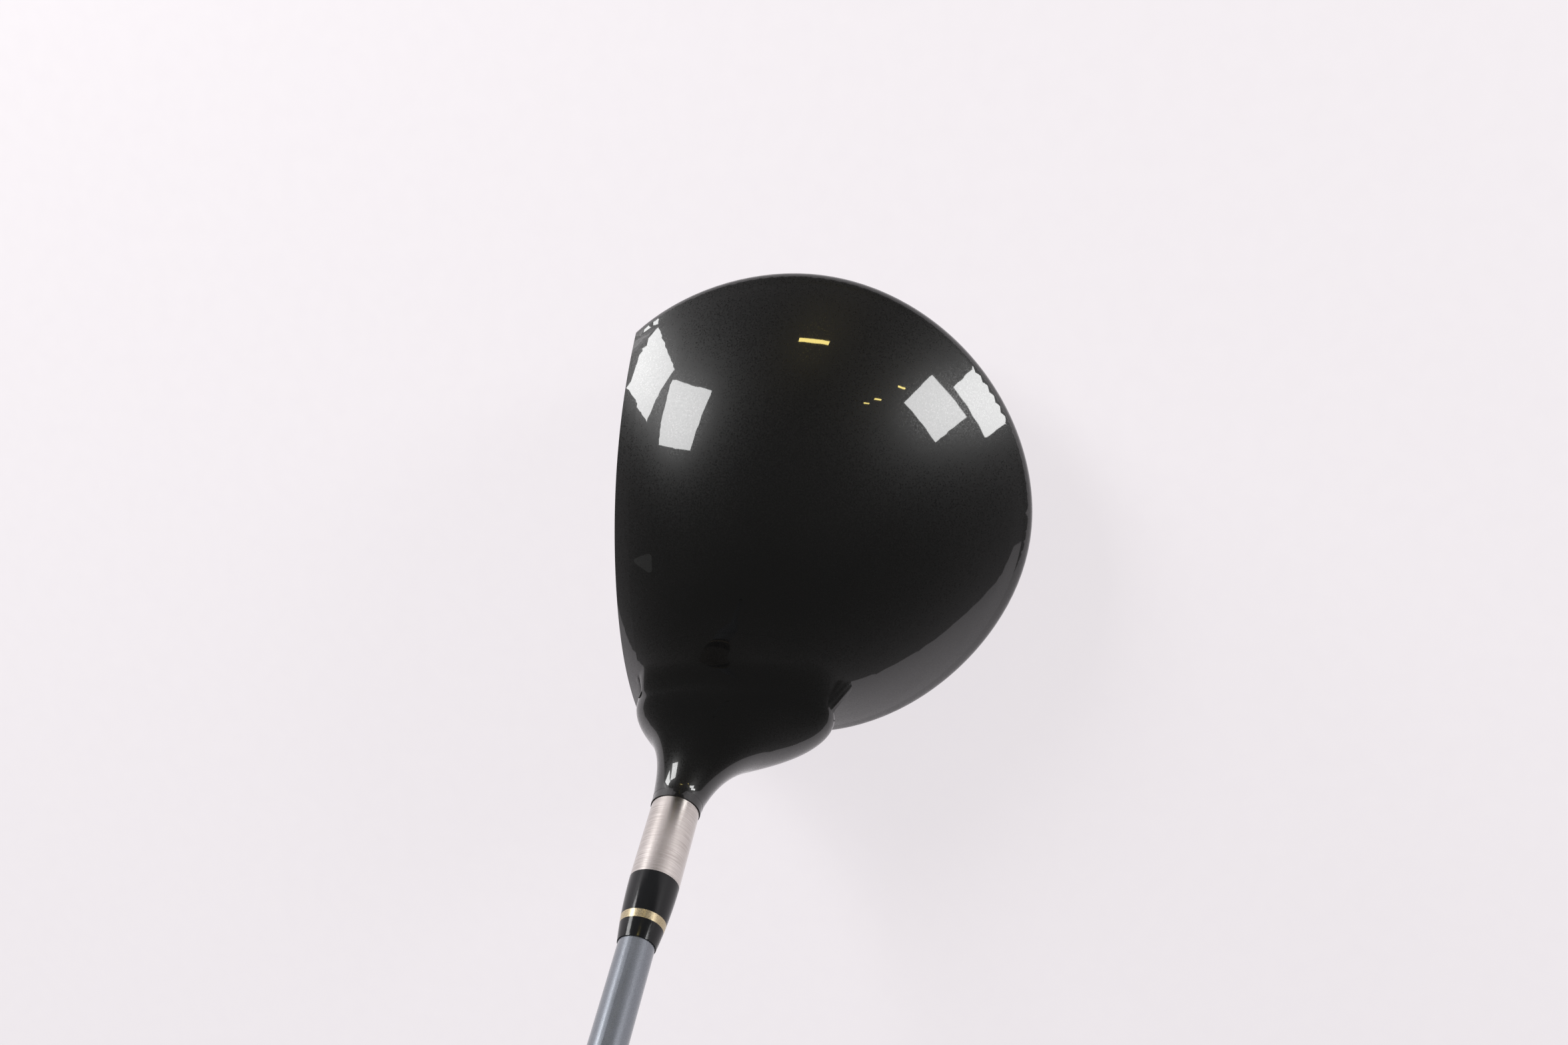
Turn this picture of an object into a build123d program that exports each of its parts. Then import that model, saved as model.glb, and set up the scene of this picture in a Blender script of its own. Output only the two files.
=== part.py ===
from build123d import *
import math
import os

# A right-handed golf driver, standing at address: sole on the ground, +Z up, face toward -Y,
# toe toward -X, grip end leaning toward +X. The origin is the middle of the small flat on the
# sole that the head rests on. Millimetres throughout.

# ---------------------------------------------------------------- driving dimensions

# head: plan outline as radii from the plan centre, every 45 degrees, from the heel towards the back
PLAN_CENTRE = (-2.0, 18.0)
RADIUS_HEEL = 51.5
RADIUS_HEEL_BACK = 50.0
RADIUS_BACK = 54.0
RADIUS_TOE_BACK = 59.0
RADIUS_TOE = 65.5
RADIUS_TOE_FRONT = 67.5
RADIUS_FRONT = 62.0
RADIUS_HEEL_FRONT = 66.5
EQUATOR_HEIGHT = 32.2        # mean height of the widest line
EQUATOR_TILT = 6.4           # how much that line rises to the front and falls to the back
HEAD_HEIGHT = 63.0
CROWN_APEX = (-0.5, -1.0)    # plan position of the highest point
SOLE_DIP = 0.15              # depth of the sole's low point under its ground flat
CROWN_POWER = 2.0            # fullness of the crown; 2 is a paraboloid
SOLE_SPREAD, SOLE_RISE = 0.79, 0.80      # fullness of the sole; 1 and 1 is an ellipsoid

LOFT = 10.0                  # degrees
FACE_CENTRE_Y = -32.0
FACE_CENTRE_Z = 30.0
FACE_RADIUS = 305.0          # bulge and roll
FACE_THICKNESS = 3.0
FACE_FRAME = 5.0             # width of the rim between the crown or sole and the face plate
SHELL_WALL = 1.0

CROWN_SEAM_FRONT = 40.0      # height of the crown's glue line at the face and at the back
CROWN_SEAM_BACK = 27.5
CROWN_SETBACK = 3.6          # the crown starts this far behind the face's surface
SOLE_PLATE_RISE = 5.0        # height of the sole plate's edge above the ground

GROOVE_WIDTH = 0.8
GROOVE_DEPTH = 0.4
GROOVE_CUT = 10.0            # reach of the cutters before the face's skin limits them
GROOVE_PITCH = 5.0
GROOVE_ROWS = 7
GROOVE_BLANK = 34.0          # clear hitting area in the middle of the face
GROOVE_REACH = 76.0          # overall width over the grooves

MARK_WIDTH = 5.6
MARK_LENGTH = 5.2
MARK_DEPTH = 0.3
MARK_Y = -17.5

# shaft axis and hosel
LIE = 59.5                   # degrees
AXIS_X, AXIS_Y = 27.0, -10.7  # where the shaft axis meets the ground
NECK_TOP = 69.2              # along the axis, from the ground
NECK_TOP_RADIUS = 6.25
SLEEVE_SHOWING = 21.0        # bare hosel above the painted neck
SLEEVE_RADIUS = 6.0
SHAFT_INSERTION = 38.0
SLEEVE_FLOOR = 3.0
SHAFT_FIT = 0.05             # glue gap on the radius

# the neck's sections across the shaft axis: place along it, shift toward the toe and the back,
# and half-widths in those two directions
NECK_SECTIONS = [
    (34.0, 13.0, 11.0, 11.0, 15.0),
    (40.0, 12.0, 11.5, 16.0, 22.0),
    (46.0, 9.5, 11.0, 17.0, 25.0),
    (52.0, 6.0, 5.0, 13.9, 15.4),
    (57.0, 2.4, 2.2, 9.3, 9.4),
    (61.0, 0.8, 0.9, 7.4, 7.6),
    (65.0, 0.1, 0.2, 6.5, 6.6),
]

# shaft
CLUB_LENGTH = 1149.0         # along the axis, ground to the end of the grip cap
SHAFT_TIP_RADIUS = 4.3
SHAFT_PARALLEL = 76.0        # length of the parallel tip
SHAFT_BUTT_RADIUS = 7.62
SHAFT_TIP_BORE = 2.6
SHAFT_BUTT_BORE = 6.4
TIP_WEIGHT_LENGTH = 14.0
TIP_WEIGHT_FIT = 0.05

# ferrule
FERRULE_LENGTH = 16.2
FERRULE_END_WALL = 0.22
FERRULE_RING_AT = 9.9
FERRULE_RING_WIDTH = 1.9
FERRULE_FIT = 0.03

# grip
GRIP_LENGTH = 270.0
GRIP_MOUTH_WALL = 1.1
GRIP_WAIST_FROM_CAP = 51.0
GRIP_WAIST_RADIUS = 11.6
GRIP_BUTT_RADIUS = 13.4
CAP_THICKNESS = 5.0
CAP_EDGE_ROUND = 2.0
CAP_VENT_RADIUS = 2.0
TAPE_THICKNESS = 0.25

# movable weights
WEIGHTS = {"toe": (-27.0, 20.0), "heel": (24.0, 20.0)}    # plan positions
PORT_RADIUS = 9.3
PORT_WALL = 1.8
PORT_DEPTH = 9.0             # height of the port's floor above the ground
PORT_FLOOR = 2.0
PORT_NIPPLE_WALL = 1.9
WEIGHT_FIT = 0.2
WEIGHT_THICKNESS = 5.0
SCREW_RADIUS = 2.5
SCREW_FIT = 0.05
SCREW_LENGTH = 9.0           # thread length past the port's floor
SCREW_HEAD_RADIUS = 4.5
SCREW_HEAD_HEIGHT = 2.6
SCREW_HEAD_FIT = 0.15
SCREW_TIP_GAP = 1.0
RETAINER_RADIUS = 3.9
RETAINER_THICKNESS = 0.8
SOCKET_LOBE_RADIUS = 0.5
SOCKET_RADIUS = 1.5
SOCKET_DEPTH = 1.7

# ---------------------------------------------------------------- derived frames

SECTION_POINTS = 32
LATITUDES = [-86, -80, -70, -60, -45, -31, -19, -10, -4, 6, 12, 18, 25, 33, 42, 52, 62, 72, 81, 87]

AXIS_DIR = Vector(math.cos(math.radians(LIE)), 0, math.sin(math.radians(LIE)))
AXIS_FOOT = Vector(AXIS_X, AXIS_Y, 0)
TOEWARD = Vector(-math.sin(math.radians(LIE)), 0, math.cos(math.radians(LIE)))
BACKWARD = Vector(0, 1, 0)

FACE_NORMAL = Vector(0, -math.cos(math.radians(LOFT)), math.sin(math.radians(LOFT)))
FACE_CENTRE = Vector(0, FACE_CENTRE_Y, FACE_CENTRE_Z)
FACE_PLANE = Plane(origin=FACE_CENTRE, x_dir=(1, 0, 0), z_dir=FACE_NORMAL)

SLEEVE_TOP = NECK_TOP + SLEEVE_SHOWING
SHAFT_TIP = SLEEVE_TOP - SHAFT_INSERTION
SLEEVE_BOTTOM = SHAFT_TIP - SLEEVE_FLOOR
SLEEVE_BORE = SHAFT_TIP_RADIUS + SHAFT_FIT
SHAFT_BUTT = CLUB_LENGTH - CAP_THICKNESS
GRIP_MOUTH = CLUB_LENGTH - GRIP_LENGTH
FERRULE_TOP = SLEEVE_TOP + FERRULE_LENGTH

parts = {}


def axis_point(along, toeward=0.0, backward=0.0):
    """A point by its place along the shaft axis and its two offsets from it."""
    return AXIS_FOOT + AXIS_DIR * along + TOEWARD * toeward + BACKWARD * backward


def axis_revolve(profile):
    """A solid turned about the shaft axis from (radius, along) corners."""
    wire = Wire(Polyline(*[axis_point(along, radius) for radius, along in profile], close=True).edges())
    return revolve(Face(wire), axis=Axis(AXIS_FOOT, AXIS_DIR)).solid()


def axis_rod(radius, start, end):
    """A plain rod on the shaft axis."""
    rod = Cylinder(radius, end - start, align=(Align.CENTER, Align.CENTER, Align.MIN))
    return (Plane(origin=axis_point(start), x_dir=BACKWARD, z_dir=AXIS_DIR) * rod).solid()


def loop(points):
    """A smooth closed wire, with the same knots whatever its size."""
    knots = [float(i) for i in range(len(points) + 1)]
    return Wire([Edge.make_spline(points, periodic=True, parameters=knots)])


def outline_point(radius, step):
    """A point of the plan outline, on the tilted widest line of the head."""
    angle = math.radians(45 * step)
    x = PLAN_CENTRE[0] + radius * math.cos(angle)
    y = PLAN_CENTRE[1] + radius * math.sin(angle)
    return (x, y, EQUATOR_HEIGHT - EQUATOR_TILT * math.sin(angle))


OUTLINE_RADII = [
    RADIUS_HEEL,
    RADIUS_HEEL_BACK,
    RADIUS_BACK,
    RADIUS_TOE_BACK,
    RADIUS_TOE,
    RADIUS_TOE_FRONT,
    RADIUS_FRONT,
    RADIUS_HEEL_FRONT,
]
OUTLINE = Spline(*[outline_point(r, i) for i, r in enumerate(OUTLINE_RADII)], periodic=True)
EQUATOR = [OUTLINE @ (k / SECTION_POINTS) for k in range(SECTION_POINTS)]


def skin_point(edge_point, latitude):
    """A point of the head's skin, at a latitude from -90 (sole) to 90 (crown)."""
    across = math.cos(math.radians(latitude))
    rise = abs(math.sin(math.radians(latitude)))
    if latitude >= 0:
        spread, lift, top = across, 1 - across**CROWN_POWER, HEAD_HEIGHT
        pole_x, pole_y = CROWN_APEX
    else:
        spread, lift, top = across**SOLE_SPREAD, rise**SOLE_RISE, -SOLE_DIP
        pole_x, pole_y = 0.0, 0.0
    return Vector(
        pole_x + (edge_point.X - pole_x) * spread,
        pole_y + (edge_point.Y - pole_y) * spread,
        edge_point.Z + (top - edge_point.Z) * lift,
    )


def skin_normal(k, latitude):
    """The skin's outward direction at one of its points."""
    ahead = skin_point(EQUATOR[(k + 1) % SECTION_POINTS], latitude)
    behind = skin_point(EQUATOR[k - 1], latitude)
    above = skin_point(EQUATOR[k], latitude + 2)
    below = skin_point(EQUATOR[k], latitude - 2)
    return (ahead - behind).cross(above - below).normalized()


def head_solid(inset, latitudes=LATITUDES):
    """The whole head without its face cut, with its skin moved inwards by inset."""
    sections = [Vertex(0, 0, inset - SOLE_DIP)]
    for latitude in latitudes:
        points = []
        for k in range(SECTION_POINTS):
            points.append(skin_point(EQUATOR[k], latitude) - skin_normal(k, latitude) * inset)
        sections.append(loop(points))
    sections.append(Vertex(*CROWN_APEX, HEAD_HEIGHT - inset))
    return Solid.make_loft(sections)


def face_ball(inset):
    """The ball whose front is the bulged and rolled face, moved inwards by inset."""
    return Pos(FACE_CENTRE - FACE_NORMAL * FACE_RADIUS) * Sphere(FACE_RADIUS - inset)


def slab(origin, normal, depth=300.0, width=600.0):
    """A thick slab on the normal's side of a plane."""
    block = Box(width, width, depth, align=(Align.CENTER, Align.CENTER, Align.MIN))
    return Plane(origin=origin, z_dir=normal) * block


def post(place, radius, start, end):
    """An upright cylinder at a plan position."""
    rod = Cylinder(radius, end - start, align=(Align.CENTER, Align.CENTER, Align.MIN))
    return Pos(place[0], place[1], start) * rod


# ---------------------------------------------------------------- head

skin = head_solid(0.0)
under_ground = slab((0, 0, 0), (0, 0, -1))
head = (skin & face_ball(0.0)).solid()
head = (head - under_ground).solid()

neck_sections = []
for along, toeward, backward, half_toe, half_back in NECK_SECTIONS + [
    (NECK_TOP, 0.0, 0.0, NECK_TOP_RADIUS, NECK_TOP_RADIUS)
]:
    ring = []
    for k in range(SECTION_POINTS):
        turn = 2 * math.pi * k / SECTION_POINTS
        ring.append(
            axis_point(along, toeward + half_toe * math.cos(turn), backward + half_back * math.sin(turn))
        )
    neck_sections.append(loop(ring))
neck = Solid.make_loft(neck_sections)
neck = (neck & face_ball(0.0)).solid()

cavity = (head_solid(SHELL_WALL) & face_ball(FACE_THICKNESS)).solid()
shell = head - cavity

# face plate, welded into its rim, with scored lines either side of the hitting area
face_field = head_solid(FACE_FRAME, [a for a in LATITUDES if abs(a) > 11])
face_plate = (face_ball(0.0) - face_ball(FACE_THICKNESS)) & face_field
face_plate = face_plate.solids().sort_by(Axis.Y)[0]
groove_skin = face_ball(0.0) - face_ball(GROOVE_DEPTH)
groove_length = (GROOVE_REACH - GROOVE_BLANK) / 2
grooves = []
for row in range(GROOVE_ROWS):
    height = (row - (GROOVE_ROWS - 1) / 2) * GROOVE_PITCH
    for side in (-1, 1):
        offset = side * (GROOVE_BLANK + groove_length) / 2
        line = SlotOverall(groove_length, GROOVE_WIDTH)
        cutter = extrude(Pos(offset, height) * line, amount=GROOVE_CUT, both=True)
        grooves.append(groove_skin & (FACE_PLANE * cutter))
for groove in grooves:
    face_plate = face_plate - groove
parts["face_plate"] = face_plate

# crown, glued on along a tilted line
seam_run = PLAN_CENTRE[1] + RADIUS_BACK - FACE_CENTRE_Y
seam_slope = (CROWN_SEAM_FRONT - CROWN_SEAM_BACK) / seam_run
above_seam = slab((0, FACE_CENTRE_Y, CROWN_SEAM_FRONT), (0, seam_slope, 1))
behind_face = face_ball(CROWN_SETBACK)
crown = (shell & above_seam & behind_face) - neck
crown = crown.solids().sort_by(SortBy.VOLUME)[-1]

# alignment mark, a small rounded triangle let into the crown's leading edge
mark_sketch = Triangle(a=MARK_WIDTH, B=60, C=60)
mark_sketch = fillet(mark_sketch.vertices(), MARK_WIDTH / 8)
mark_sketch = Rot(0, 0, 180) * mark_sketch
mark_prism = Pos(0, MARK_Y, HEAD_HEIGHT / 2) * extrude(mark_sketch, amount=HEAD_HEIGHT)
mark_scale = MARK_LENGTH / mark_sketch.bounding_box().size.Y
mark_prism = Pos(0, MARK_Y, 0) * scale(Pos(0, -MARK_Y, 0) * mark_prism, by=(1, mark_scale, 1))
mark = (skin - head_solid(MARK_DEPTH)) & mark_prism
mark = mark.solids().sort_by(Axis.Z)[-1]
parts["alignment_mark"] = mark
parts["crown_shell"] = crown - mark

# weight ports in the sole
port_bore = PORT_RADIUS - PORT_WALL
nipple_radius = SCREW_RADIUS + SCREW_FIT + PORT_NIPPLE_WALL
thread_top = PORT_DEPTH + SCREW_LENGTH + SCREW_TIP_GAP
for side, place in WEIGHTS.items():
    outer = post(place, PORT_RADIUS, -SOLE_DIP, PORT_DEPTH + PORT_FLOOR)
    outer = outer & skin
    outer = outer + post(place, nipple_radius, PORT_DEPTH, thread_top + PORT_NIPPLE_WALL)
    bore = post(place, port_bore, -PORT_DEPTH, PORT_DEPTH)
    bore = bore + post(place, SCREW_RADIUS + SCREW_FIT, 0, thread_top)
    parts[f"weight_port_{side}"] = (outer - bore).solid()

# sole plate, flush in the body
above_plate = slab((0, 0, SOLE_PLATE_RISE), (0, 0, 1))
sole_plate = shell - above_plate
port_space = [post(at, PORT_RADIUS, -PORT_DEPTH, PORT_DEPTH + PORT_FLOOR) for at in WEIGHTS.values()]
for space in port_space:
    sole_plate = sole_plate - space
parts["sole_plate"] = sole_plate.solids().sort_by(SortBy.VOLUME)[-1]

# body: sole and skirt casting with the neck
body = (shell & above_plate) - (above_seam & behind_face)
body = body + (neck - cavity)
body = body - face_field
for space in port_space:
    body = body - space
body = body - axis_rod(SLEEVE_RADIUS, SLEEVE_BOTTOM, SLEEVE_TOP)
parts["head_body"] = body.solids().sort_by(SortBy.VOLUME)[-1]

# hosel sleeve, open at the top for the shaft
sleeve = axis_rod(SLEEVE_RADIUS, SLEEVE_BOTTOM, SLEEVE_TOP)
parts["hosel_sleeve"] = sleeve - axis_rod(SLEEVE_BORE, SHAFT_TIP, SLEEVE_TOP + 1)

# ---------------------------------------------------------------- weights

head_low = PORT_DEPTH - WEIGHT_THICKNESS
head_seat = head_low + SCREW_HEAD_HEIGHT
for side, place in WEIGHTS.items():
    clip_low = PORT_DEPTH - RETAINER_THICKNESS
    mass = post(place, port_bore - WEIGHT_FIT, head_low, PORT_DEPTH)
    mass = mass - post(place, SCREW_HEAD_RADIUS + SCREW_HEAD_FIT, head_low, head_seat)
    mass = mass - post(place, SCREW_RADIUS + SCREW_HEAD_FIT, head_low, PORT_DEPTH)
    mass = mass - post(place, RETAINER_RADIUS, clip_low, PORT_DEPTH)
    parts[f"weight_mass_{side}"] = mass.solid()

    clip = post(place, RETAINER_RADIUS, clip_low, PORT_DEPTH)
    clip = clip - post(place, SCREW_RADIUS + SCREW_FIT, clip_low, PORT_DEPTH)
    parts[f"weight_retainer_{side}"] = clip.solid()

    screw = post(place, SCREW_HEAD_RADIUS, head_low, head_seat)
    screw = screw + post(place, SCREW_RADIUS, head_low, PORT_DEPTH + SCREW_LENGTH)
    socket = post(place, SOCKET_RADIUS, head_low, head_low + SOCKET_DEPTH)
    for lobe in range(6):
        turn = math.radians(60 * lobe)
        lobe_at = (place[0] + SOCKET_RADIUS * math.cos(turn), place[1] + SOCKET_RADIUS * math.sin(turn))
        socket = socket + post(lobe_at, SOCKET_LOBE_RADIUS, head_low, head_low + SOCKET_DEPTH)
    parts[f"weight_screw_{side}"] = (screw - socket).solid()

# ---------------------------------------------------------------- shaft and ferrule


def shaft_radius(along):
    """The shaft's outer radius at a place along the axis."""
    taper_start = SHAFT_TIP + SHAFT_PARALLEL
    share = max(0.0, along - taper_start) / (SHAFT_BUTT - taper_start)
    return SHAFT_TIP_RADIUS + (SHAFT_BUTT_RADIUS - SHAFT_TIP_RADIUS) * share


taper_start = SHAFT_TIP + SHAFT_PARALLEL
parts["shaft"] = axis_revolve(
    [
        (SHAFT_TIP_BORE, SHAFT_TIP),
        (SHAFT_TIP_RADIUS, SHAFT_TIP),
        (SHAFT_TIP_RADIUS, taper_start),
        (SHAFT_BUTT_RADIUS, SHAFT_BUTT),
        (SHAFT_BUTT_BORE, SHAFT_BUTT),
        (SHAFT_TIP_BORE, taper_start),
    ]
)
parts["shaft_tip_weight"] = axis_rod(SHAFT_TIP_BORE - TIP_WEIGHT_FIT, SHAFT_TIP, SHAFT_TIP + TIP_WEIGHT_LENGTH)

ferrule_bore = SHAFT_TIP_RADIUS + FERRULE_FIT
ferrule_end = ferrule_bore + FERRULE_END_WALL
bulge = Spline(
    axis_point(SLEEVE_TOP, SLEEVE_RADIUS),
    axis_point(SLEEVE_TOP + FERRULE_LENGTH * 0.5, SLEEVE_RADIUS - (SLEEVE_RADIUS - ferrule_end) * 0.3),
    axis_point(FERRULE_TOP, ferrule_end),
)
ferrule_wire = Wire(
    [
        bulge.edge(),
        Edge.make_line(axis_point(FERRULE_TOP, ferrule_end), axis_point(FERRULE_TOP, ferrule_bore)),
        Edge.make_line(axis_point(FERRULE_TOP, ferrule_bore), axis_point(SLEEVE_TOP, ferrule_bore)),
        Edge.make_line(axis_point(SLEEVE_TOP, ferrule_bore), axis_point(SLEEVE_TOP, SLEEVE_RADIUS)),
    ]
)
ferrule = revolve(Face(ferrule_wire), axis=Axis(AXIS_FOOT, AXIS_DIR)).solid()
ring_start = SLEEVE_TOP + FERRULE_RING_AT
ring_end = ring_start + FERRULE_RING_WIDTH
past_start = slab(axis_point(ring_start), AXIS_DIR)
past_end = slab(axis_point(ring_end), AXIS_DIR)
parts["ferrule_base"] = (ferrule - past_start).solid()
parts["ferrule_ring"] = ((ferrule & past_start) - past_end).solid()
parts["ferrule_tip"] = (ferrule & past_end).solid()

# ---------------------------------------------------------------- grip

tape_mouth = shaft_radius(GRIP_MOUTH) + TAPE_THICKNESS
tape_butt = SHAFT_BUTT_RADIUS + TAPE_THICKNESS
parts["grip_tape"] = axis_revolve(
    [
        (shaft_radius(GRIP_MOUTH), GRIP_MOUTH),
        (tape_mouth, GRIP_MOUTH),
        (tape_butt, SHAFT_BUTT),
        (SHAFT_BUTT_RADIUS, SHAFT_BUTT),
    ]
)
waist = SHAFT_BUTT - GRIP_WAIST_FROM_CAP
parts["grip"] = axis_revolve(
    [
        (tape_mouth, GRIP_MOUTH),
        (tape_mouth + GRIP_MOUTH_WALL, GRIP_MOUTH),
        (GRIP_WAIST_RADIUS, waist),
        (GRIP_BUTT_RADIUS, SHAFT_BUTT),
        (tape_butt, SHAFT_BUTT),
    ]
)
cap = axis_rod(GRIP_BUTT_RADIUS, SHAFT_BUTT, CLUB_LENGTH)
cap_circles = cap.edges().filter_by(GeomType.CIRCLE)
cap_rim = [e for e in cap_circles if (e.arc_center - axis_point(CLUB_LENGTH)).length < 0.1]
cap = cap.fillet(CAP_EDGE_ROUND, cap_rim)
parts["grip_cap"] = cap - axis_rod(CAP_VENT_RADIUS, SHAFT_BUTT - 1, CLUB_LENGTH + 1)

# ---------------------------------------------------------------- write the pieces

os.makedirs("parts", exist_ok=True)
for name, shape in parts.items():
    export_step(shape, f"parts/{name}.step")
    print(name, len(shape.solids()), round(shape.volume, 1))
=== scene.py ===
import logging
import math
from dataclasses import dataclass, field
from enum import Enum

import bpy
from mathutils import Matrix, Vector


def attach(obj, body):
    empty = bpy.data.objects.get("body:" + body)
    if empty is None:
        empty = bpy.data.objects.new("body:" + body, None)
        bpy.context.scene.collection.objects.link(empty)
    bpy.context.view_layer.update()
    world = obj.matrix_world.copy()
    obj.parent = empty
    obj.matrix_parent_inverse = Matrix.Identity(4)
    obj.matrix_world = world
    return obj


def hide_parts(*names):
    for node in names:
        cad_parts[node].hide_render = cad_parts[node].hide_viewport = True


# The looks of a right-handed golf driver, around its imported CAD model. Metres throughout, +Z up,
# face toward -Y, toe toward -X, grip end leaning toward +X.

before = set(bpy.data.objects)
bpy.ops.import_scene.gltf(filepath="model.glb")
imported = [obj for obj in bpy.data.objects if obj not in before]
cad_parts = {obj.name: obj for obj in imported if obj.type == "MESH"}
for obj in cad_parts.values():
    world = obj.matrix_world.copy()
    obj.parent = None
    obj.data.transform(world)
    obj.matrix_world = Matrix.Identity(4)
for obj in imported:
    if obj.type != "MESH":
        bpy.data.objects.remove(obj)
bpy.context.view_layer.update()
log = logging.getLogger("driver")

LIE_DEGREES = 59.5
AXIS_FOOT = Vector((0.027, -0.0107, 0.0))
AXIS_TILT = math.radians(90.0 - LIE_DEGREES)
AXIS_FRAME = Matrix.Translation(AXIS_FOOT) @ Matrix.Rotation(AXIS_TILT, 4, "Y")

# A noise pattern keeps nearly all of its values between these two.
NOISE_LOW = 0.3
NOISE_HIGH = 0.7

# The colour sockets of a mix node, which share their names with its number sockets.
MIX_COLOUR_A = 6
MIX_COLOUR_B = 7
MIX_COLOUR_RESULT = 2


class Space(Enum):
    """The coordinates that a finish is worked out in."""

    HEAD = "upright, from the sole's middle"
    SHAFT = "along the shaft, from where its axis meets the ground"


class NodeBench:
    """A new material and short calls that put nodes on it."""

    def __init__(self, name: str) -> None:
        """Start an empty material with one shader.

        Args:
            name: The material's name.
        """
        self.material = bpy.data.materials.new(name)
        self.material.use_nodes = True
        self.tree = self.material.node_tree
        self.tree.nodes.clear()
        self.output = self.add("ShaderNodeOutputMaterial")
        self.shader = self.add("ShaderNodeBsdfPrincipled")
        self.link(self.shader, "BSDF", self.output, "Surface")

    def add(self, kind: str, **settings: object) -> bpy.types.Node:
        """Add a node.

        Args:
            kind: Blender's name for the node.
            **settings: Its properties, or its inputs where a property has no such name.

        Returns:
            The new node.
        """
        node = self.tree.nodes.new(kind)
        for key, value in settings.items():
            if hasattr(node, key):
                setattr(node, key, value)
            else:
                node.inputs[key.replace("_", " ")].default_value = value
        return node

    def link(self, source: bpy.types.Node, out: str, target: bpy.types.Node, into: str) -> None:
        """Join one node's output to another's input.

        Args:
            source: The node that gives.
            out: Its output.
            target: The node that takes.
            into: Its input.
        """
        self.tree.links.new(source.outputs[out], target.inputs[into])

    def place(self, space: Space, stretch: tuple[float, float, float] = (1.0, 1.0, 1.0)) -> bpy.types.Node:
        """Give the position on the piece in one of the two spaces.

        Args:
            space: Upright, or turned onto the shaft's axis.
            stretch: How much closer together the pattern lies in each direction.

        Returns:
            A mapping node whose Vector output is the position.
        """
        where = self.add("ShaderNodeTexCoord")
        source, out = where, "Object"
        if space is Space.SHAFT:
            turn = self.add("ShaderNodeMapping", vector_type="TEXTURE")
            turn.inputs["Location"].default_value = AXIS_FOOT
            turn.inputs["Rotation"].default_value = (0.0, AXIS_TILT, 0.0)
            self.link(source, out, turn, "Vector")
            source, out = turn, "Vector"
        spread = self.add("ShaderNodeMapping", vector_type="POINT")
        spread.inputs["Scale"].default_value = stretch
        self.link(source, out, spread, "Vector")
        return spread

    def noise(self, at: bpy.types.Node, scale: float, detail: float = 3.0, rough: float = 0.5) -> bpy.types.Node:
        """Add a cloudy pattern.

        Args:
            at: The node that gives the position.
            scale: Cells to the metre.
            detail: Finer and finer layers.
            rough: How strong those layers are.

        Returns:
            The noise node.
        """
        node = self.add("ShaderNodeTexNoise", Scale=scale, Detail=detail, Roughness=rough)
        self.link(at, "Vector", node, "Vector")
        return node

    def ramp(
        self, source: bpy.types.Node, out: str, stops: list[tuple[float, tuple[float, float, float]]]
    ) -> bpy.types.Node:
        """Turn a value into a colour.

        Args:
            source: The node that gives the value.
            out: Its output.
            stops: Places from 0 to 1 and their colours.

        Returns:
            The ramp node.
        """
        node = self.add("ShaderNodeValToRGB")
        elements = node.color_ramp.elements
        while len(elements) < len(stops):
            elements.new(0.5)
        for element, (place, colour) in zip(elements, stops):
            element.position = place
            element.color = (*colour, 1.0)
        self.link(source, out, node, "Fac")
        return node

    def span(self, source: bpy.types.Node, out: str, low: float, high: float) -> bpy.types.Node:
        """Bring a pattern's middle range to the range from low to high.

        Args:
            source: The node that gives the value.
            out: Its output.
            low: The result at the pattern's low end.
            high: The result at its high end.

        Returns:
            The map range node, with output Result.
        """
        node = self.add("ShaderNodeMapRange")
        node.inputs["From Min"].default_value = NOISE_LOW
        node.inputs["From Max"].default_value = NOISE_HIGH
        node.inputs["To Min"].default_value = low
        node.inputs["To Max"].default_value = high
        self.link(source, out, node, "Value")
        return node

    def relief(self, source: bpy.types.Node, out: str, height: float, strength: float) -> bpy.types.Node:
        """Add surface relief from a pattern.

        Args:
            source: The node that gives the height.
            out: Its output.
            height: The relief's depth in metres.
            strength: Its share, from 0 to 1.

        Returns:
            The bump node.
        """
        node = self.add("ShaderNodeBump", Strength=strength, Distance=height)
        self.link(source, out, node, "Height")
        return node

    def set(self, **values: object) -> None:
        """Set numbers and colours on the shader's own sockets.

        Args:
            **values: Each socket's name, with underscores for spaces, and what it is set to.
        """
        for key, value in values.items():
            self.shader.inputs[key.replace("_", " ")].default_value = value


@dataclass(frozen=True)
class GlossPaint:
    """Sprayed black paint under a clear coat, with a faint ripple and settled dust."""

    name: str
    space: Space
    deep: tuple[float, float, float] = (0.0035, 0.0035, 0.0037)
    lifted: tuple[float, float, float] = (0.0062, 0.0060, 0.0060)
    ripple: float = 0.000003
    roughness: float = 0.30
    coat: float = 1.0

    def build(self) -> bpy.types.Material:
        """Return the finished material."""
        bench = NodeBench(self.name)
        at = bench.place(self.space)
        cloud = bench.noise(at, 38.0, 4.0)
        tone = bench.ramp(cloud, "Fac", [(0.3, self.deep), (0.7, self.lifted)])
        bench.link(tone, "Color", bench.shader, "Base Color")
        dust = bench.noise(at, 2600.0, 2.0, 0.6)
        film = bench.span(dust, "Fac", self.roughness * 0.75, self.roughness * 1.6)
        bench.link(film, "Result", bench.shader, "Roughness")
        peel = bench.noise(at, 420.0, 2.0, 0.4)
        relief = bench.relief(peel, "Fac", self.ripple, 0.6)
        bench.link(relief, "Normal", bench.shader, "Normal")
        bench.set(IOR=1.35, Coat_Weight=self.coat, Coat_Roughness=0.025, Coat_IOR=1.5)
        return bench.material


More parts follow.
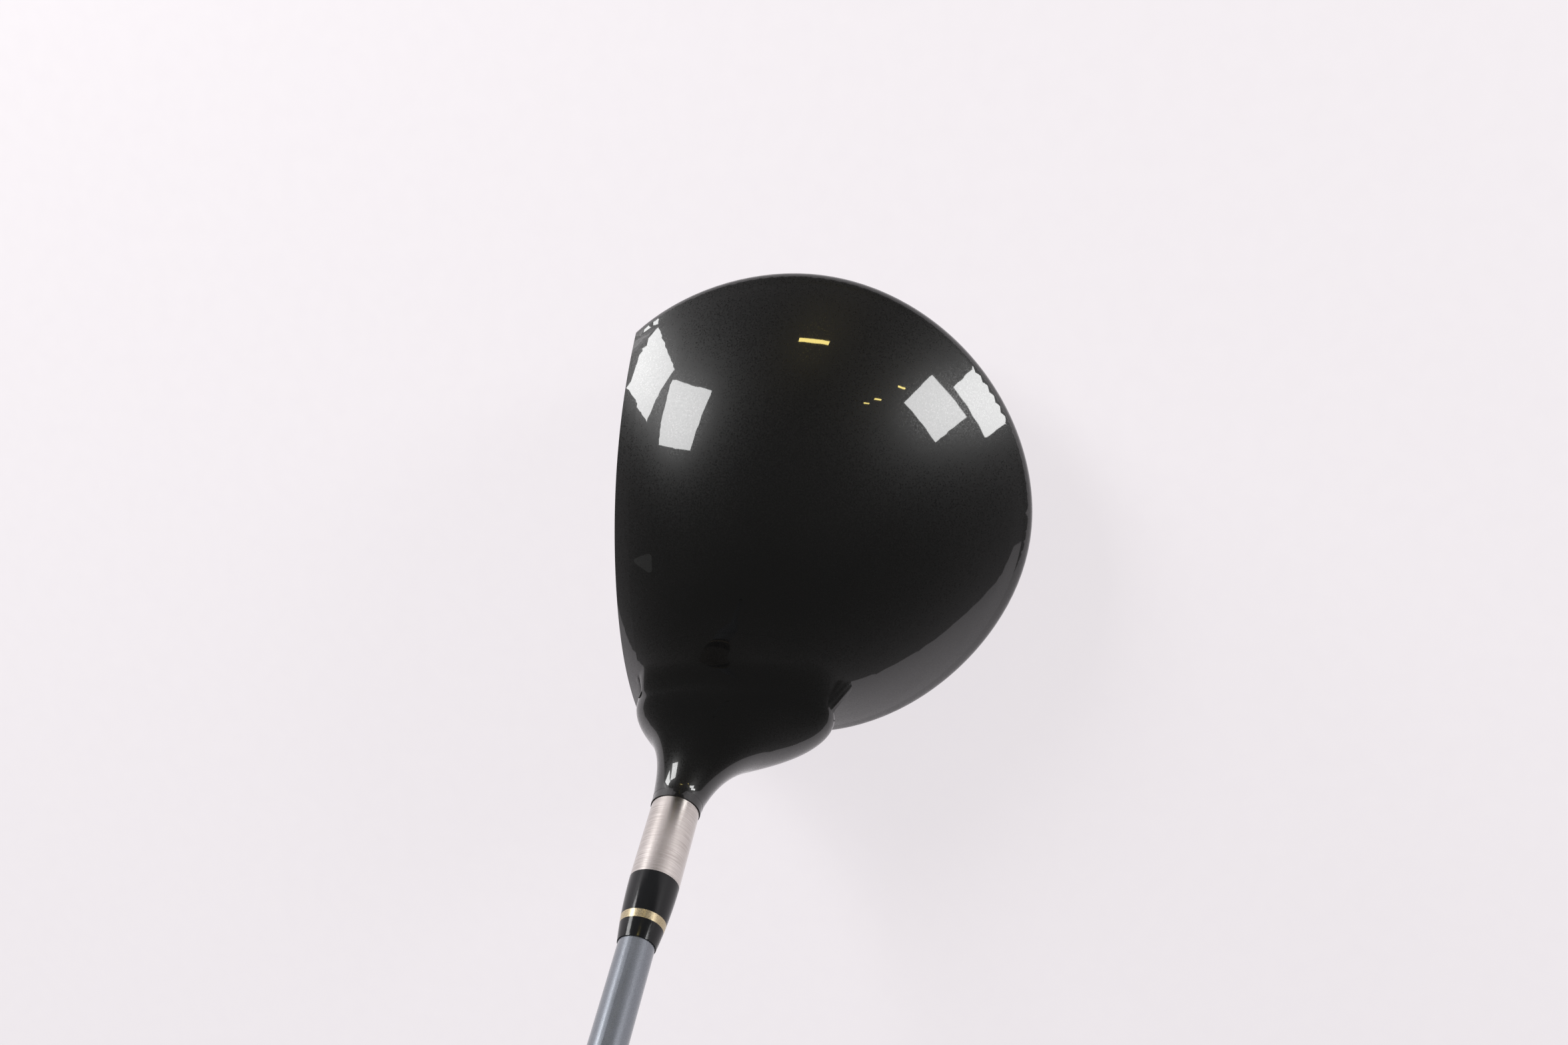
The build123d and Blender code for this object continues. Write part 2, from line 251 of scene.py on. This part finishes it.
@dataclass(frozen=True)
class BrushedMetal:
    """Bare metal with fine parallel scratches in one direction."""

    name: str
    space: Space
    dark: tuple[float, float, float]
    light: tuple[float, float, float]
    stretch: tuple[float, float, float]
    grain: float = 900.0
    depth: float = 0.00001
    low: float = 0.2
    high: float = 0.34

    def build(self) -> bpy.types.Material:
        """Return the finished material."""
        bench = NodeBench(self.name)
        lines = bench.noise(bench.place(self.space, self.stretch), self.grain, 4.0, 0.65)
        stain = bench.noise(bench.place(self.space), 90.0, 3.0)
        tone = bench.ramp(lines, "Fac", [(0.32, self.dark), (0.68, self.light)])
        haze = bench.ramp(stain, "Fac", [(0.3, (0.86, 0.84, 0.82)), (0.7, (1.0, 1.0, 1.0))])
        mixed = bench.add("ShaderNodeMix", data_type="RGBA", blend_type="MULTIPLY")
        mixed.inputs["Factor"].default_value = 0.55
        bench.tree.links.new(tone.outputs["Color"], mixed.inputs[MIX_COLOUR_A])
        bench.tree.links.new(haze.outputs["Color"], mixed.inputs[MIX_COLOUR_B])
        bench.tree.links.new(mixed.outputs[MIX_COLOUR_RESULT], bench.shader.inputs["Base Color"])
        rough = bench.span(lines, "Fac", self.low, self.high)
        bench.link(rough, "Result", bench.shader, "Roughness")
        relief = bench.relief(lines, "Fac", self.depth, 0.5)
        bench.link(relief, "Normal", bench.shader, "Normal")
        bench.set(Metallic=1.0)
        return bench.material


@dataclass(frozen=True)
class CastMetal:
    """Plain machined or moulded metal with a fine even tooth."""

    name: str
    dark: tuple[float, float, float]
    light: tuple[float, float, float]
    grain: float = 2200.0
    low: float = 0.28
    high: float = 0.45

    def build(self) -> bpy.types.Material:
        """Return the finished material."""
        bench = NodeBench(self.name)
        at = bench.place(Space.HEAD)
        tooth = bench.noise(at, self.grain, 3.0, 0.6)
        patch = bench.noise(at, 130.0, 3.0)
        tone = bench.ramp(patch, "Fac", [(0.3, self.dark), (0.7, self.light)])
        bench.link(tone, "Color", bench.shader, "Base Color")
        rough = bench.span(tooth, "Fac", self.low, self.high)
        bench.link(rough, "Result", bench.shader, "Roughness")
        relief = bench.relief(tooth, "Fac", 0.000012, 0.4)
        bench.link(relief, "Normal", bench.shader, "Normal")
        bench.set(Metallic=1.0)
        return bench.material


@dataclass(frozen=True)
class SatinShaftPaint:
    """Silver blue-grey lacquer with fine flake over wound carbon fibre."""

    name: str
    dark: tuple[float, float, float] = (0.15, 0.165, 0.19)
    light: tuple[float, float, float] = (0.24, 0.26, 0.295)

    def build(self) -> bpy.types.Material:
        """Return the finished material."""
        bench = NodeBench(self.name)
        at = bench.place(Space.SHAFT)
        flake = bench.noise(at, 5200.0, 2.0, 0.7)
        tone = bench.ramp(flake, "Fac", [(0.3, self.dark), (0.7, self.light)])
        bench.link(tone, "Color", bench.shader, "Base Color")
        wind = bench.noise(bench.place(Space.SHAFT, (1.0, 1.0, 0.12)), 700.0, 2.0, 0.5)
        rough = bench.span(wind, "Fac", 0.26, 0.36)
        bench.link(rough, "Result", bench.shader, "Roughness")
        relief = bench.relief(wind, "Fac", 0.000006, 0.5)
        bench.link(relief, "Normal", bench.shader, "Normal")
        bench.set(Metallic=0.55, Coat_Weight=0.6, Coat_Roughness=0.12, Coat_IOR=1.5)
        return bench.material


@dataclass(frozen=True)
class Moulded:
    """Moulded rubber, plastic or cloth tape: dull, with a fine grain."""

    name: str
    space: Space
    dark: tuple[float, float, float]
    light: tuple[float, float, float]
    grain: float = 1800.0
    tooth: float = 0.00003
    low: float = 0.55
    high: float = 0.75
    metallic: float = 0.0

    def build(self) -> bpy.types.Material:
        """Return the finished material."""
        bench = NodeBench(self.name)
        at = bench.place(self.space)
        grain = bench.noise(at, self.grain, 4.0, 0.6)
        wear = bench.noise(at, 60.0, 4.0)
        tone = bench.ramp(wear, "Fac", [(0.3, self.dark), (0.72, self.light)])
        bench.link(tone, "Color", bench.shader, "Base Color")
        rough = bench.span(grain, "Fac", self.low, self.high)
        bench.link(rough, "Result", bench.shader, "Roughness")
        relief = bench.relief(grain, "Fac", self.tooth, 0.6)
        bench.link(relief, "Normal", bench.shader, "Normal")
        bench.set(Metallic=self.metallic)
        return bench.material


def dress(node: str, material: bpy.types.Material) -> None:
    """Put a material on every slot of a CAD node.

    Args:
        node: The CAD node's name.
        material: What it is finished in.
    """
    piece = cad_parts[node]
    if not piece.material_slots:
        piece.data.materials.append(material)
    for slot in piece.material_slots:
        slot.material = material
    log.info("dressed %s in %s", node, material.name)


def nothing_selected() -> None:
    """Leave object mode with nothing selected."""
    if bpy.context.mode != "OBJECT":
        bpy.ops.object.mode_set(mode="OBJECT")
    bpy.ops.object.select_all(action="DESELECT")


@dataclass
class Head:
    """The hollow head: body, crown, face, sole plate and alignment mark."""

    paint: GlossPaint = GlossPaint("black_gloss_paint", Space.HEAD)
    crown: GlossPaint = GlossPaint("black_crown_paint", Space.HEAD)
    mark: GlossPaint = GlossPaint(
        "grey_mark_paint", Space.HEAD, deep=(0.018, 0.018, 0.018), lifted=(0.03, 0.03, 0.03), roughness=0.3, coat=0.8
    )
    face: BrushedMetal = BrushedMetal(
        "brushed_face_titanium", Space.HEAD, (0.20, 0.195, 0.19), (0.34, 0.33, 0.32), (0.05, 1.0, 1.0), 1500.0
    )
    sole: BrushedMetal = BrushedMetal(
        "brushed_sole_titanium", Space.HEAD, (0.33, 0.32, 0.30), (0.52, 0.50, 0.48), (0.04, 1.0, 1.0), 1100.0
    )

    def dress(self) -> None:
        """Give the head's pieces their finishes, and blend the neck into the crown."""
        paint = self.paint.build()
        dress("head_body", paint)
        dress("crown_shell", self.crown.build())
        NeckBlend().build(paint)
        dress("alignment_mark", self.mark.build())
        dress("face_plate", self.face.build())
        dress("sole_plate", self.sole.build())


@dataclass
class NeckBlend:
    """The filled and painted sweep where the neck flows into the crown."""

    top: float = 0.0670
    low: float = 0.0475
    neck_radius: float = 0.0063
    toe_reach: float = 0.040
    heel_reach: float = 0.0085
    back_reach: float = 0.044
    front_reach: float = 0.0150
    rings: int = 44
    sides: int = 144
    flare: float = 1.35
    fall: float = 2.5
    top_rim: int = 2
    wide_rim: int = 3
    soften: int = 90
    settle: int = 6
    film: float = 0.00003
    thickness: float = 0.0004

    def oval(self, share: float) -> tuple[float, float, float, float, float]:
        """Return one ring of the starting funnel.

        Args:
            share: From 0 at the top of the neck to 1 at the widest ring.

        Returns:
            Its middle toward the heel and the back, its half-widths that way, and its place along the axis.
        """
        spread = share**self.flare
        toe = self.neck_radius + spread * (self.toe_reach - self.neck_radius)
        heel = self.neck_radius + spread * (self.heel_reach - self.neck_radius)
        back = self.neck_radius + spread * (self.back_reach - self.neck_radius)
        front = self.neck_radius + spread * (self.front_reach - self.neck_radius)
        along = self.low + (self.top - self.low) * (1.0 - share) ** self.fall
        return (heel - toe) / 2, (back - front) / 2, (heel + toe) / 2, (back + front) / 2, along

    def painted_skin(self) -> bpy.types.Object:
        """Return a joined and merged copy of the two painted CAD pieces."""
        nothing_selected()
        for node in ("crown_shell", "head_body"):
            twin = bpy.data.objects.new(f"skin_of_{node}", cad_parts[node].data.copy())
            bpy.context.scene.collection.objects.link(twin)
            twin.select_set(True)
            bpy.context.view_layer.objects.active = twin
        bpy.ops.object.join()
        bpy.ops.object.mode_set(mode="EDIT")
        bpy.ops.mesh.select_all(action="SELECT")
        bpy.ops.mesh.remove_doubles(threshold=0.00001)
        bpy.ops.object.mode_set(mode="OBJECT")
        return bpy.context.active_object

    def funnel(self) -> bpy.types.Object:
        """Model the starting funnel around the neck, ring by ring.

        Returns:
            The funnel, with a vertex group named blend that leaves its rims out.
        """
        nothing_selected()
        middle_x, middle_y, half_x, half_y, along = self.oval(0.0)
        bpy.ops.mesh.primitive_circle_add(
            vertices=self.sides, radius=half_x, fill_type="NOTHING", location=(0, 0, along)
        )
        piece = bpy.context.active_object
        piece.name = "neck_blend_paint"
        bpy.ops.object.transform_apply(location=True, rotation=True, scale=True)
        bpy.ops.object.mode_set(mode="EDIT")
        bpy.ops.mesh.select_all(action="SELECT")
        for ring in range(1, self.rings + 1):
            next_x, next_y, wide_x, wide_y, next_along = self.oval(ring / self.rings)
            step = (next_x - middle_x, next_y - middle_y, next_along - along)
            bpy.ops.mesh.extrude_region_move(TRANSFORM_OT_translate={"value": step})
            bpy.ops.transform.resize(
                value=(wide_x / half_x, wide_y / half_y, 1.0), center_override=(next_x, next_y, next_along)
            )
            middle_x, middle_y, half_x, half_y, along = next_x, next_y, wide_x, wide_y, next_along
        bpy.ops.object.mode_set(mode="OBJECT")
        blend = piece.vertex_groups.new(name="blend")
        inner = range(self.top_rim * self.sides, (self.rings - self.wide_rim) * self.sides)
        blend.add(list(inner), 1.0, "REPLACE")
        piece.matrix_world = AXIS_FRAME.copy()
        bpy.ops.object.transform_apply(location=True, rotation=True, scale=True)
        return piece

    def wrap(self, piece: bpy.types.Object, skin: bpy.types.Object, mode: str, offset: float) -> None:
        """Lay the piece on the skin, or push what is under the skin out to it.

        Args:
            piece: The funnel.
            skin: The painted surface.
            mode: Blender's name for where the piece ends up.
            offset: How far off the skin it stays.
        """
        modifier = piece.modifiers.new("wrap", "SHRINKWRAP")
        modifier.target = skin
        modifier.wrap_method = "NEAREST_SURFACEPOINT"
        modifier.wrap_mode = mode
        modifier.offset = offset
        bpy.ops.object.modifier_apply(modifier="wrap")

    def smooth(self, piece: bpy.types.Object, times: int) -> None:
        """Even the piece out inside its rims.

        Args:
            piece: The funnel.
            times: How often it is evened out.
        """
        modifier = piece.modifiers.new("smooth", "SMOOTH")
        modifier.factor = 0.5
        modifier.iterations = times
        modifier.vertex_group = "blend"
        bpy.ops.object.modifier_apply(modifier="smooth")

    def build(self, paint: bpy.types.Material) -> bpy.types.Object:
        """Model the blend and return it.

        Args:
            paint: The crown's finish.

        Returns:
            The new piece, riding on the club.
        """
        skin = self.painted_skin()
        piece = self.funnel()
        self.wrap(piece, skin, "ON_SURFACE", 0.0)
        self.smooth(piece, self.soften)
        self.wrap(piece, skin, "OUTSIDE", self.film)
        self.smooth(piece, self.settle)
        self.wrap(piece, skin, "OUTSIDE", self.film)
        bpy.data.objects.remove(skin)
        bpy.ops.object.mode_set(mode="EDIT")
        bpy.ops.mesh.select_all(action="SELECT")
        bpy.ops.mesh.normals_make_consistent(inside=False)
        bpy.ops.object.mode_set(mode="OBJECT")
        axis = AXIS_FRAME.to_3x3() @ Vector((0.0, 0.0, 1.0))
        outward = sum(face.normal.dot(axis) * face.area for face in piece.data.polygons)
        if outward < 0.0:
            bpy.ops.object.mode_set(mode="EDIT")
            bpy.ops.mesh.select_all(action="SELECT")
            bpy.ops.mesh.flip_normals()
            bpy.ops.object.mode_set(mode="OBJECT")
        rounded = piece.modifiers.new("round", "SUBSURF")
        rounded.levels = rounded.render_levels = 1
        bpy.ops.object.modifier_apply(modifier="round")
        wall = piece.modifiers.new("wall", "SOLIDIFY")
        wall.thickness = self.thickness
        wall.offset = -1.0
        bpy.ops.object.modifier_apply(modifier="wall")
        bpy.ops.object.shade_smooth_by_angle(angle=math.radians(60.0))
        piece.data.materials.append(paint)
        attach(piece, "club")
        log.info("modelled %s with %d faces", piece.name, len(piece.data.polygons))
        return piece


@dataclass
class SoleWeights:
    """The two weight ports and what is screwed into them."""

    port: CastMetal = CastMetal("grey_port_metal", (0.16, 0.155, 0.15), (0.24, 0.235, 0.23))
    mass: CastMetal = CastMetal("turned_weight_steel", (0.36, 0.36, 0.37), (0.5, 0.5, 0.51), 1500.0, 0.2, 0.34)
    screw: CastMetal = CastMetal("blackened_screw_steel", (0.05, 0.05, 0.052), (0.11, 0.11, 0.112), 2600.0, 0.3, 0.5)
    clip: Moulded = Moulded("black_retainer_nylon", Space.HEAD, (0.02, 0.02, 0.02), (0.04, 0.04, 0.04))

    def dress(self) -> None:
        """Give both weights the same four finishes."""
        finishes = {"port": self.port, "mass": self.mass, "screw": self.screw, "retainer": self.clip}
        for part, finish in finishes.items():
            material = finish.build()
            for side in ("toe", "heel"):
                dress(f"weight_{part}_{side}", material)


@dataclass
class Hosel:
    """The bare hosel sleeve and the ferrule on it."""

    sleeve: BrushedMetal = BrushedMetal(
        "turned_hosel_steel", Space.SHAFT, (0.52, 0.48, 0.45), (0.74, 0.70, 0.67), (0.03, 0.03, 1.0), 5200.0,
        depth=0.000012, low=0.16, high=0.27,
    )
    plastic: GlossPaint = GlossPaint(
        "black_ferrule_plastic", Space.SHAFT, deep=(0.008, 0.0085, 0.009), lifted=(0.014, 0.0145, 0.016), roughness=0.12,
        coat=0.0,
    )
    gold: Moulded = Moulded(
        "pale_gold_ring", Space.SHAFT, (0.42, 0.34, 0.20), (0.56, 0.47, 0.31), 2400.0, 0.00001, 0.22, 0.34, 0.6
    )

    def dress(self) -> None:
        """Give the sleeve and ferrule their finishes."""
        dress("hosel_sleeve", self.sleeve.build())
        plastic = self.plastic.build()
        dress("ferrule_base", plastic)
        dress("ferrule_tip", plastic)
        dress("ferrule_ring", self.gold.build())


@dataclass
class Shaft:
    """The shaft with the plug weight in its tip."""

    lacquer: SatinShaftPaint = SatinShaftPaint("silver_blue_shaft_lacquer")
    brass: CastMetal = CastMetal("tip_brass", (0.55, 0.4, 0.17), (0.7, 0.53, 0.26), 1800.0)

    def dress(self) -> None:
        """Give the shaft and its plug their finishes."""
        dress("shaft", self.lacquer.build())
        dress("shaft_tip_weight", self.brass.build())


@dataclass
class Grip:
    """The slip-on rubber grip, with moulded rings down its length, and its tape and cap."""

    mouth: float = 0.879
    end: float = 1.144
    waist: float = 1.093
    mouth_radius: float = 0.00816
    waist_radius: float = 0.0116
    end_radius: float = 0.0134
    bore_start: float = 0.0070
    bore_end: float = 0.00788
    collar: float = 0.012
    groove_pitch: float = 0.0062
    groove_depth: float = 0.00042
    groove_half_width: float = 0.0009
    groove_floor_half_width: float = 0.0003
    lip_inset: float = 0.0004
    lip_length: float = 0.0006
    sides: int = 72
    rubber: Moulded = Moulded(
        "black_grip_rubber", Space.SHAFT, (0.012, 0.012, 0.012), (0.026, 0.026, 0.027), 2600.0, 0.00005, 0.6, 0.8
    )
    cap: Moulded = Moulded(
        "black_cap_rubber", Space.SHAFT, (0.014, 0.014, 0.014), (0.03, 0.03, 0.03), 1500.0, 0.00003, 0.5, 0.7
    )
    tape: Moulded = Moulded(
        "tan_grip_tape", Space.SHAFT, (0.5, 0.45, 0.36), (0.66, 0.6, 0.5), 2200.0, 0.00004, 0.75, 0.92
    )

    def radius_at(self, along: float) -> float:
        """Return the grip's smooth outer radius.

        Args:
            along: The place on the shaft's axis, from the ground.

        Returns:
            The radius in metres.
        """
        if along <= self.waist:
            share = (along - self.mouth) / (self.waist - self.mouth)
            return self.mouth_radius + share * (self.waist_radius - self.mouth_radius)
        share = (along - self.waist) / (self.end - self.waist)
        return self.waist_radius + share * (self.end_radius - self.waist_radius)

    def profile(self) -> list[tuple[float, float]]:
        """Return the outer line as (radius, along) pairs, from the mouth to the end."""
        mouth_surface = self.radius_at(self.mouth)
        line = [(mouth_surface - self.lip_inset, self.mouth), (mouth_surface, self.mouth + self.lip_length)]
        along = self.mouth + self.collar
        while along < self.end - self.collar:
            surface = self.radius_at(along)
            line.append((surface, along - self.groove_half_width))
            line.append((surface - self.groove_depth, along - self.groove_floor_half_width))
            line.append((surface - self.groove_depth, along + self.groove_floor_half_width))
            line.append((surface, along + self.groove_half_width))
            along += self.groove_pitch
        line.append((self.end_radius, self.end))
        return line

    def build(self) -> bpy.types.Object:
        """Model the grip and return it.

        Returns:
            The new piece, riding on the club in place of the CAD grip.
        """
        nothing_selected()
        line = self.profile()
        first_radius, first_along = line[0]
        bpy.ops.mesh.primitive_circle_add(
            vertices=self.sides, radius=first_radius, fill_type="NOTHING", location=(0.0, 0.0, first_along)
        )
        piece = bpy.context.active_object
        piece.name = "grip_ribbed"
        bpy.ops.object.mode_set(mode="EDIT")
        bpy.ops.mesh.select_all(action="SELECT")
        walls = line[1:] + [(self.bore_end, self.end), (self.bore_start, self.mouth)]
        radius, along = line[0]
        for next_radius, next_along in walls:
            bpy.ops.mesh.extrude_region_move(TRANSFORM_OT_translate={"value": (0.0, 0.0, next_along - along)})
            ratio = next_radius / radius
            bpy.ops.transform.resize(value=(ratio, ratio, 1.0), center_override=(0.0, 0.0, next_along))
            radius, along = next_radius, next_along
        bpy.ops.mesh.select_all(action="DESELECT")
        bpy.ops.mesh.select_mode(type="EDGE")
        bpy.ops.mesh.select_non_manifold()
        bpy.ops.mesh.bridge_edge_loops()
        bpy.ops.mesh.select_all(action="SELECT")
        bpy.ops.mesh.normals_make_consistent(inside=False)
        bpy.ops.object.mode_set(mode="OBJECT")
        piece.matrix_world = AXIS_FRAME @ piece.matrix_world
        bpy.ops.object.transform_apply(location=True, rotation=True, scale=True)
        bpy.ops.object.shade_smooth_by_angle(angle=math.radians(50.0))
        piece.data.materials.append(self.rubber.build())
        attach(piece, "club")
        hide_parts("grip")
        log.info("modelled %s with %d faces", piece.name, len(piece.data.polygons))
        return piece

    def dress(self) -> None:
        """Give the cap and the tape their finishes."""
        dress("grip_cap", self.cap.build())
        dress("grip_tape", self.tape.build())


@dataclass(frozen=True)
class Lamp:
    """One soft light, aimed at the head."""

    name: str
    place: tuple[float, float, float]
    size: tuple[float, float]
    power: float
    roll: float = 0.0
    colour: tuple[float, float, float] = (1.0, 1.0, 1.0)


@dataclass
class Studio:
    """The pale table, the pale surroundings, the lamps and the camera."""

    aim: Vector = field(default_factory=lambda: Vector((-0.02, 0.015, 0.045)))
    eye: Vector = field(default_factory=lambda: Vector((-0.0666, 0.0750, 0.3462)))
    sight: Vector = field(default_factory=lambda: Vector((-0.1864, 0.1967, 0.9626)))
    lens: float = 29.54
    roll: float = math.radians(0.12)
    lamps: tuple[Lamp, ...] = (
        Lamp("front_low_box", (-0.681, -0.832, 0.239), (0.34, 0.32), 4.4, 8.0),
        Lamp("front_high_box", (-0.663, -0.620, 0.622), (0.36, 0.36), 5.2, 40.0),
        Lamp("back_high_box", (-0.525, 0.875, 0.411), (0.18, 0.30), 2.3, 100.0),
        Lamp("back_low_box", (-0.460, 0.975, 0.218), (0.13, 0.32), 2.0, 100.0),
        Lamp("ceiling_tube", (-0.98, 0.19, 0.50), (0.20, 0.018), 0.25, 0.0, (1.0, 0.80, 0.25)),
        Lamp("far_lamp_one", (-0.72, 0.77, 0.505), (0.045, 0.008), 0.03, 30.0, (1.0, 0.80, 0.25)),
        Lamp("far_lamp_two", (-0.71, 0.69, 0.62), (0.045, 0.008), 0.03, 30.0, (1.0, 0.80, 0.25)),
        Lamp("far_lamp_three", (-0.71, 0.64, 0.67), (0.035, 0.008), 0.02, 30.0, (1.0, 0.80, 0.25)),
    )

    def light(self) -> None:
        """Hang the lamps and set the dim room around them."""
        for lamp in self.lamps:
            data = bpy.data.lights.new(lamp.name, "AREA")
            data.shape = "RECTANGLE"
            data.size, data.size_y = lamp.size
            data.energy = lamp.power
            data.color = lamp.colour
            hung = bpy.data.objects.new(lamp.name, data)
            bpy.context.scene.collection.objects.link(hung)
            hung.location = lamp.place
            facing = (self.aim - Vector(lamp.place)).to_track_quat("-Z", "Y")
            hung.rotation_mode = "QUATERNION"
            hung.rotation_quaternion = facing @ Matrix.Rotation(math.radians(lamp.roll), 4, "Z").to_quaternion()
            hung.visible_camera = False
            log.info("hung %s", lamp.name)
        world = bpy.data.worlds.new("dim_room")
        world.use_nodes = True
        world.node_tree.nodes["Background"].inputs["Color"].default_value = (0.10, 0.098, 0.095, 1.0)
        bpy.context.scene.world = world

    def surround(self) -> None:
        """Lay the table and put the pale backdrop far behind it."""
        nothing_selected()
        bpy.ops.mesh.primitive_circle_add(vertices=96, radius=14.0, fill_type="NGON", location=(0.0, 0.0, 0.0))
        table = bpy.context.active_object
        table.name = "table_top"
        bench = NodeBench("pale_table")
        grain = bench.noise(bench.place(Space.HEAD), 180.0, 3.0)
        tone = bench.ramp(grain, "Fac", [(0.3, (0.29, 0.277, 0.287)), (0.7, (0.31, 0.297, 0.307))])
        bench.link(tone, "Color", bench.shader, "Base Color")
        bench.set(Roughness=0.7, Emission_Color=(0.93, 0.885, 0.92, 1.0), Emission_Strength=0.78)
        table.data.materials.append(bench.material)
        bpy.ops.object.select_all(action="DESELECT")
        bpy.ops.mesh.primitive_uv_sphere_add(segments=48, ring_count=24, radius=13.0, location=(0.0, 0.0, 0.0))
        dome = bpy.context.active_object
        dome.name = "pale_backdrop"
        bench = NodeBench("pale_backdrop_cloth")
        haze = bench.noise(bench.place(Space.HEAD), 0.4, 2.0)
        tone = bench.ramp(haze, "Fac", [(0.3, (0.84, 0.80, 0.83)), (0.7, (0.88, 0.84, 0.87))])
        bench.link(tone, "Color", bench.shader, "Emission Color")
        bench.set(Base_Color=(0.0, 0.0, 0.0, 1.0), Emission_Strength=1.0, Roughness=1.0, Specular_IOR_Level=0.0)
        dome.data.materials.append(bench.material)
        dome.visible_glossy = False
        dome.visible_diffuse = False
        dome.visible_shadow = False

    def shoot(self) -> None:
        """Stand the camera over the head, looking down from the player's side."""
        data = bpy.data.cameras.new("camera")
        data.sensor_width = 36.0
        data.lens = self.lens
        data.clip_start, data.clip_end = 0.01, 60.0
        camera = bpy.data.objects.new("camera", data)
        bpy.context.scene.collection.objects.link(camera)
        back = self.sight.normalized()
        toe = Vector((-1.0, 0.0, 0.0))
        up = (toe - back * toe.dot(back)).normalized()
        up.rotate(Matrix.Rotation(self.roll, 3, back))
        right = up.cross(back)
        camera.matrix_world = Matrix.Translation(self.eye) @ Matrix((right, up, back)).transposed().to_4x4()
        bpy.context.scene.camera = camera
        bpy.context.scene.view_settings.view_transform = "Standard"


def main() -> None:
    """Build the club piece by piece, then the studio around it."""
    logging.basicConfig(level=logging.INFO, format="%(name)s: %(message)s")
    Head().dress()
    SoleWeights().dress()
    Hosel().dress()
    Shaft().dress()
    grip = Grip()
    grip.build()
    grip.dress()
    studio = Studio()
    studio.light()
    studio.surround()
    studio.shoot()


if __name__ == "__main__":
    main()
